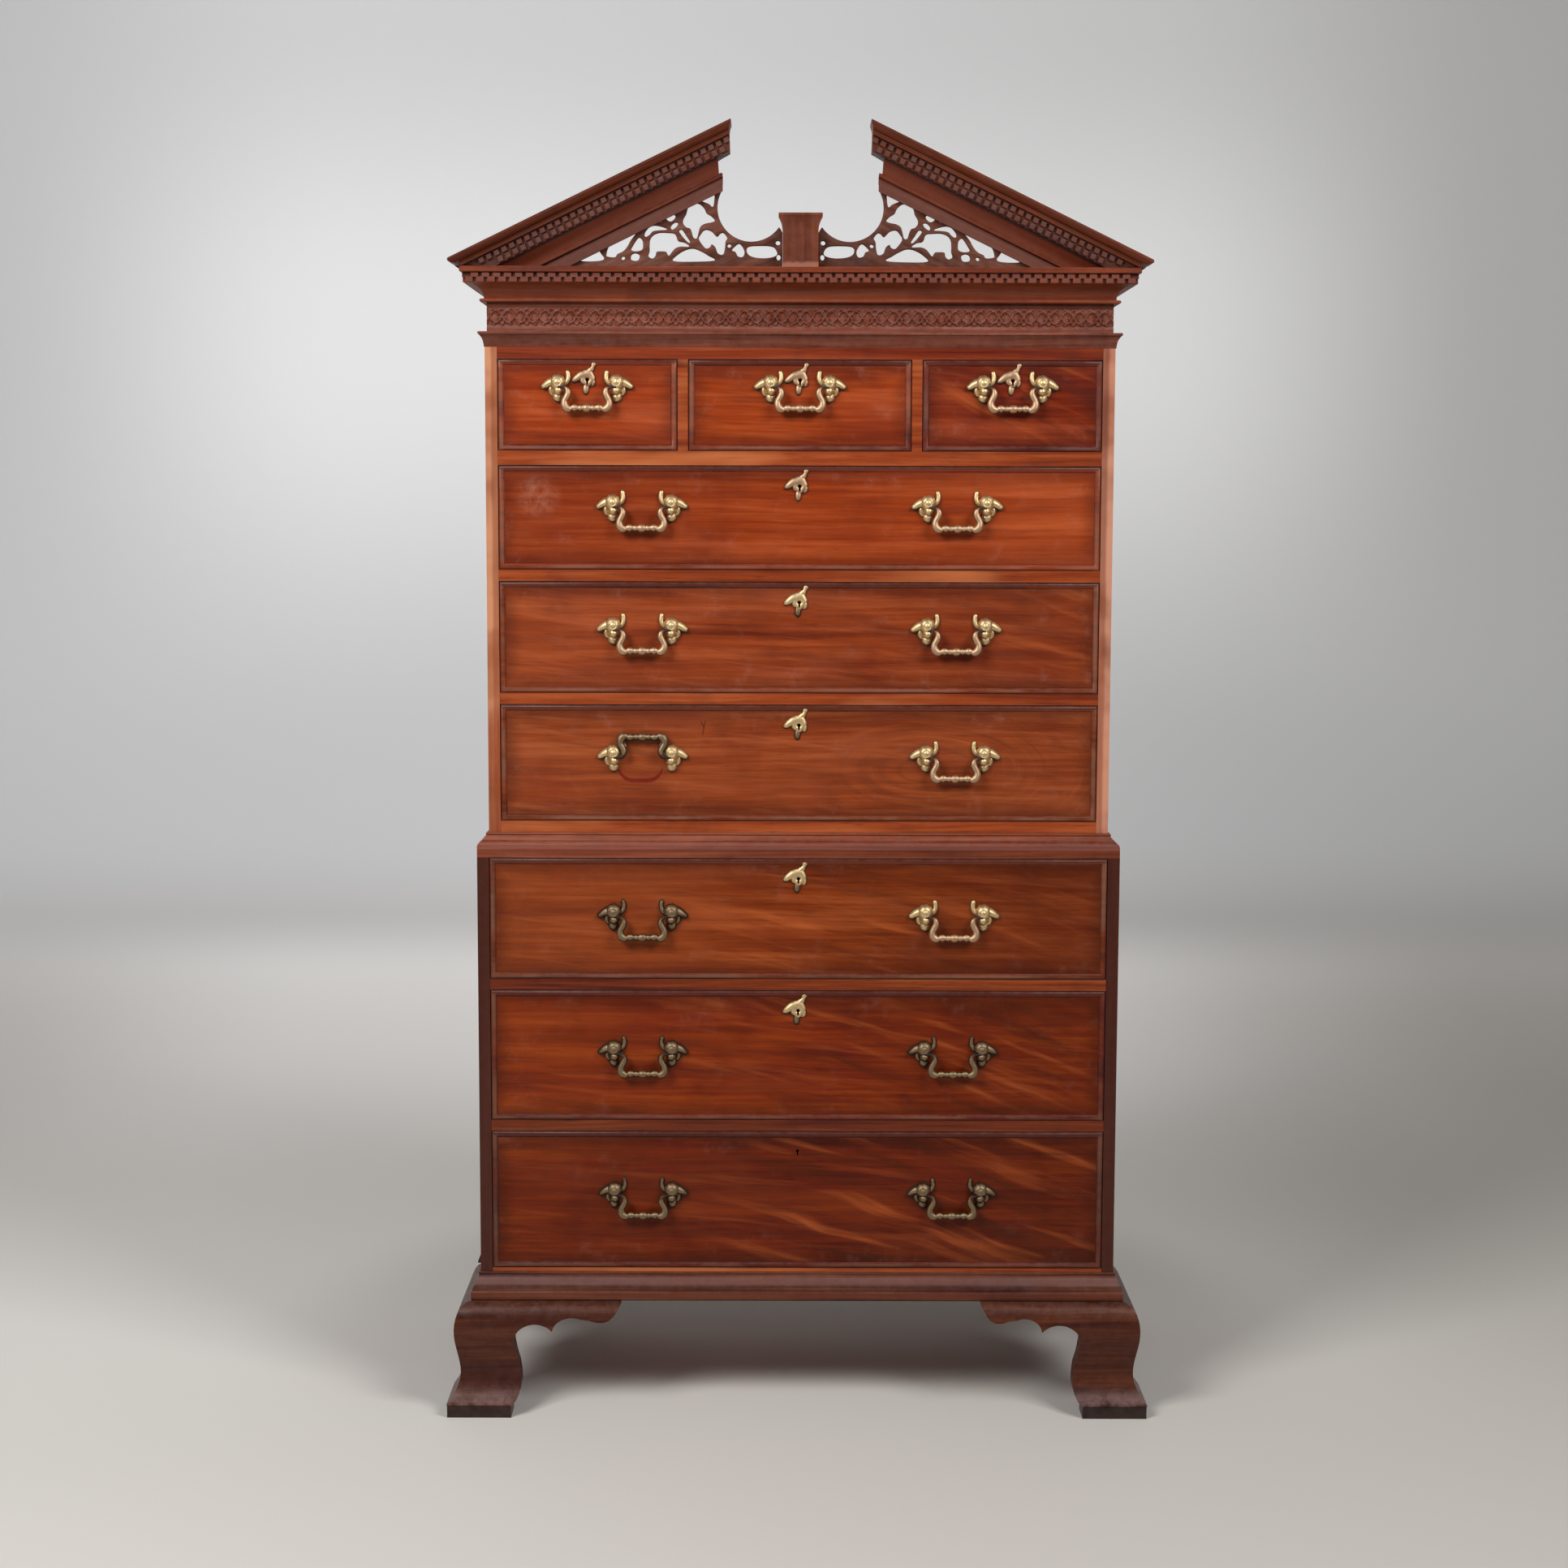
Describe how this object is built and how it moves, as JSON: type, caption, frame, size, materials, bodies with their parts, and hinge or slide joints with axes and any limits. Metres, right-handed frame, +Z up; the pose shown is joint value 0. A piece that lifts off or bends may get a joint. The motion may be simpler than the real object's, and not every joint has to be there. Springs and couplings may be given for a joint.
{
  "type": "tallboy",
  "caption": "Chest on chest with a broken pierced pediment, sliding drawers with swinging bail handles, and ogee bracket feet.",
  "frame": {"origin": "on the floor, at the middle of the overall plan", "axes": "+Z up, front towards -Y, width along X, left as seen from the front is -X"},
  "size_m": [1.217, 0.6063, 2.2127],
  "materials": {
    "mahogany": "red-brown polished mahogany",
    "drawer_mahogany": "figured polished mahogany, with gilt brass mounts fixed on it",
    "dark_mahogany": "darker, dusty polished mahogany",
    "drawer_lining": "plain unpolished oak or pine",
    "brass": "aged gilt brass"
  },
  "bodies": {
    "carcase": {"base_moulding": "mahogany", "cornice": "dark_mahogany", "frieze": "dark_mahogany", "front_left_foot": "dark_mahogany", "front_right_foot": "dark_mahogany", "lower_back_panel": "drawer_lining", "lower_bottom_board": "mahogany", "lower_left_side": "mahogany", "lower_rail_1": "mahogany", "lower_rail_2": "mahogany", "lower_right_side": "mahogany", "lower_top_board": "mahogany", "pediment_left_fret": "dark_mahogany", "pediment_left_rake": "dark_mahogany", "pediment_plinth": "dark_mahogany", "pediment_right_fret": "dark_mahogany", "pediment_right_rake": "dark_mahogany", "rear_left_foot": "dark_mahogany", "rear_right_foot": "dark_mahogany", "upper_back_panel": "drawer_lining", "upper_bottom_board": "mahogany", "upper_left_side": "mahogany", "upper_rail_1": "mahogany", "upper_rail_2": "mahogany", "upper_rail_3": "mahogany", "upper_right_side": "mahogany", "upper_top_board": "drawer_lining"},
    "short_left_drawer": {"short_left_front": "drawer_mahogany", "short_left_box": "drawer_lining"},
    "short_left_swing_bail": {"short_left_bail": "brass"},
    "short_middle_drawer": {"short_middle_front": "drawer_mahogany", "short_middle_box": "drawer_lining"},
    "short_middle_swing_bail": {"short_middle_bail": "brass"},
    "short_right_drawer": {"short_right_front": "drawer_mahogany", "short_right_box": "drawer_lining"},
    "short_right_swing_bail": {"short_right_bail": "brass"},
    "long_1_drawer": {"long_1_front": "drawer_mahogany", "long_1_box": "drawer_lining"},
    "long_1_left_swing_bail": {"long_1_left_bail": "brass"},
    "long_1_right_swing_bail": {"long_1_right_bail": "brass"},
    "long_2_drawer": {"long_2_front": "drawer_mahogany", "long_2_box": "drawer_lining"},
    "long_2_left_swing_bail": {"long_2_left_bail": "brass"},
    "long_2_right_swing_bail": {"long_2_right_bail": "brass"},
    "long_3_drawer": {"long_3_front": "drawer_mahogany", "long_3_box": "drawer_lining"},
    "long_3_left_swing_bail": {"long_3_left_bail": "brass"},
    "long_3_right_swing_bail": {"long_3_right_bail": "brass"},
    "long_4_drawer": {"long_4_front": "drawer_mahogany", "long_4_box": "drawer_lining"},
    "long_4_left_swing_bail": {"long_4_left_bail": "brass"},
    "long_4_right_swing_bail": {"long_4_right_bail": "brass"},
    "long_5_drawer": {"long_5_front": "drawer_mahogany", "long_5_box": "drawer_lining"},
    "long_5_left_swing_bail": {"long_5_left_bail": "brass"},
    "long_5_right_swing_bail": {"long_5_right_bail": "brass"},
    "long_6_drawer": {"long_6_front": "drawer_mahogany", "long_6_box": "drawer_lining"},
    "long_6_left_swing_bail": {"long_6_left_bail": "brass"},
    "long_6_right_swing_bail": {"long_6_right_bail": "brass"}
  },
  "joints": [
    {"name": "short_left_slide", "type": "slide", "parent": "carcase", "child": "short_left_drawer", "axis": [0, -1, 0], "range_m": [0, 0.4]},
    {"name": "short_left_swing", "type": "hinge", "parent": "short_left_drawer", "child": "short_left_swing_bail", "pos_m": [-0.36, -0.24285, 1.7737], "axis": [-1, 0, 0], "range_deg": [-8, 180]},
    {"name": "short_middle_slide", "type": "slide", "parent": "carcase", "child": "short_middle_drawer", "axis": [0, -1, 0], "range_m": [0, 0.4]},
    {"name": "short_middle_swing", "type": "hinge", "parent": "short_middle_drawer", "child": "short_middle_swing_bail", "pos_m": [0, -0.24285, 1.7737], "axis": [-1, 0, 0], "range_deg": [-8, 180]},
    {"name": "short_right_slide", "type": "slide", "parent": "carcase", "child": "short_right_drawer", "axis": [0, -1, 0], "range_m": [0, 0.4]},
    {"name": "short_right_swing", "type": "hinge", "parent": "short_right_drawer", "child": "short_right_swing_bail", "pos_m": [0.36, -0.24285, 1.7737], "axis": [-1, 0, 0], "range_deg": [-8, 180]},
    {"name": "long_1_slide", "type": "slide", "parent": "carcase", "child": "long_1_drawer", "axis": [0, -1, 0], "range_m": [0, 0.4]},
    {"name": "long_1_left_swing", "type": "hinge", "parent": "long_1_drawer", "child": "long_1_left_swing_bail", "pos_m": [-0.268, -0.24285, 1.5722], "axis": [-1, 0, 0], "range_deg": [-8, 188]},
    {"name": "long_1_right_swing", "type": "hinge", "parent": "long_1_drawer", "child": "long_1_right_swing_bail", "pos_m": [0.268, -0.24285, 1.5722], "axis": [-1, 0, 0], "range_deg": [-8, 188]},
    {"name": "long_2_slide", "type": "slide", "parent": "carcase", "child": "long_2_drawer", "axis": [0, -1, 0], "range_m": [0, 0.4]},
    {"name": "long_2_left_swing", "type": "hinge", "parent": "long_2_drawer", "child": "long_2_left_swing_bail", "pos_m": [-0.268, -0.24285, 1.3637], "axis": [-1, 0, 0], "range_deg": [-8, 188]},
    {"name": "long_2_right_swing", "type": "hinge", "parent": "long_2_drawer", "child": "long_2_right_swing_bail", "pos_m": [0.268, -0.24285, 1.3637], "axis": [-1, 0, 0], "range_deg": [-8, 188]},
    {"name": "long_3_slide", "type": "slide", "parent": "carcase", "child": "long_3_drawer", "axis": [0, -1, 0], "range_m": [0, 0.4]},
    {"name": "long_3_left_swing", "type": "hinge", "parent": "long_3_drawer", "child": "long_3_left_swing_bail", "pos_m": [-0.268, -0.24285, 1.1457], "axis": [1, 0, 0], "range_deg": [0, 196]},
    {"name": "long_3_right_swing", "type": "hinge", "parent": "long_3_drawer", "child": "long_3_right_swing_bail", "pos_m": [0.268, -0.24285, 1.1457], "axis": [-1, 0, 0], "range_deg": [-8, 188]},
    {"name": "long_4_slide", "type": "slide", "parent": "carcase", "child": "long_4_drawer", "axis": [0, -1, 0], "range_m": [0, 0.42]},
    {"name": "long_4_left_swing", "type": "hinge", "parent": "long_4_drawer", "child": "long_4_left_swing_bail", "pos_m": [-0.268, -0.26185, 0.8726], "axis": [-1, 0, 0], "range_deg": [-8, 188]},
    {"name": "long_4_right_swing", "type": "hinge", "parent": "long_4_drawer", "child": "long_4_right_swing_bail", "pos_m": [0.268, -0.26185, 0.8726], "axis": [-1, 0, 0], "range_deg": [-8, 188]},
    {"name": "long_5_slide", "type": "slide", "parent": "carcase", "child": "long_5_drawer", "axis": [0, -1, 0], "range_m": [0, 0.42]},
    {"name": "long_5_left_swing", "type": "hinge", "parent": "long_5_drawer", "child": "long_5_left_swing_bail", "pos_m": [-0.268, -0.26185, 0.6341], "axis": [-1, 0, 0], "range_deg": [-8, 188]},
    {"name": "long_5_right_swing", "type": "hinge", "parent": "long_5_drawer", "child": "long_5_right_swing_bail", "pos_m": [0.268, -0.26185, 0.6341], "axis": [-1, 0, 0], "range_deg": [-8, 188]},
    {"name": "long_6_slide", "type": "slide", "parent": "carcase", "child": "long_6_drawer", "axis": [0, -1, 0], "range_m": [0, 0.42]},
    {"name": "long_6_left_swing", "type": "hinge", "parent": "long_6_drawer", "child": "long_6_left_swing_bail", "pos_m": [-0.268, -0.26185, 0.3841], "axis": [-1, 0, 0], "range_deg": [-8, 188]},
    {"name": "long_6_right_swing", "type": "hinge", "parent": "long_6_drawer", "child": "long_6_right_swing_bail", "pos_m": [0.268, -0.26185, 0.3841], "axis": [-1, 0, 0], "range_deg": [-8, 188]}
  ]
}
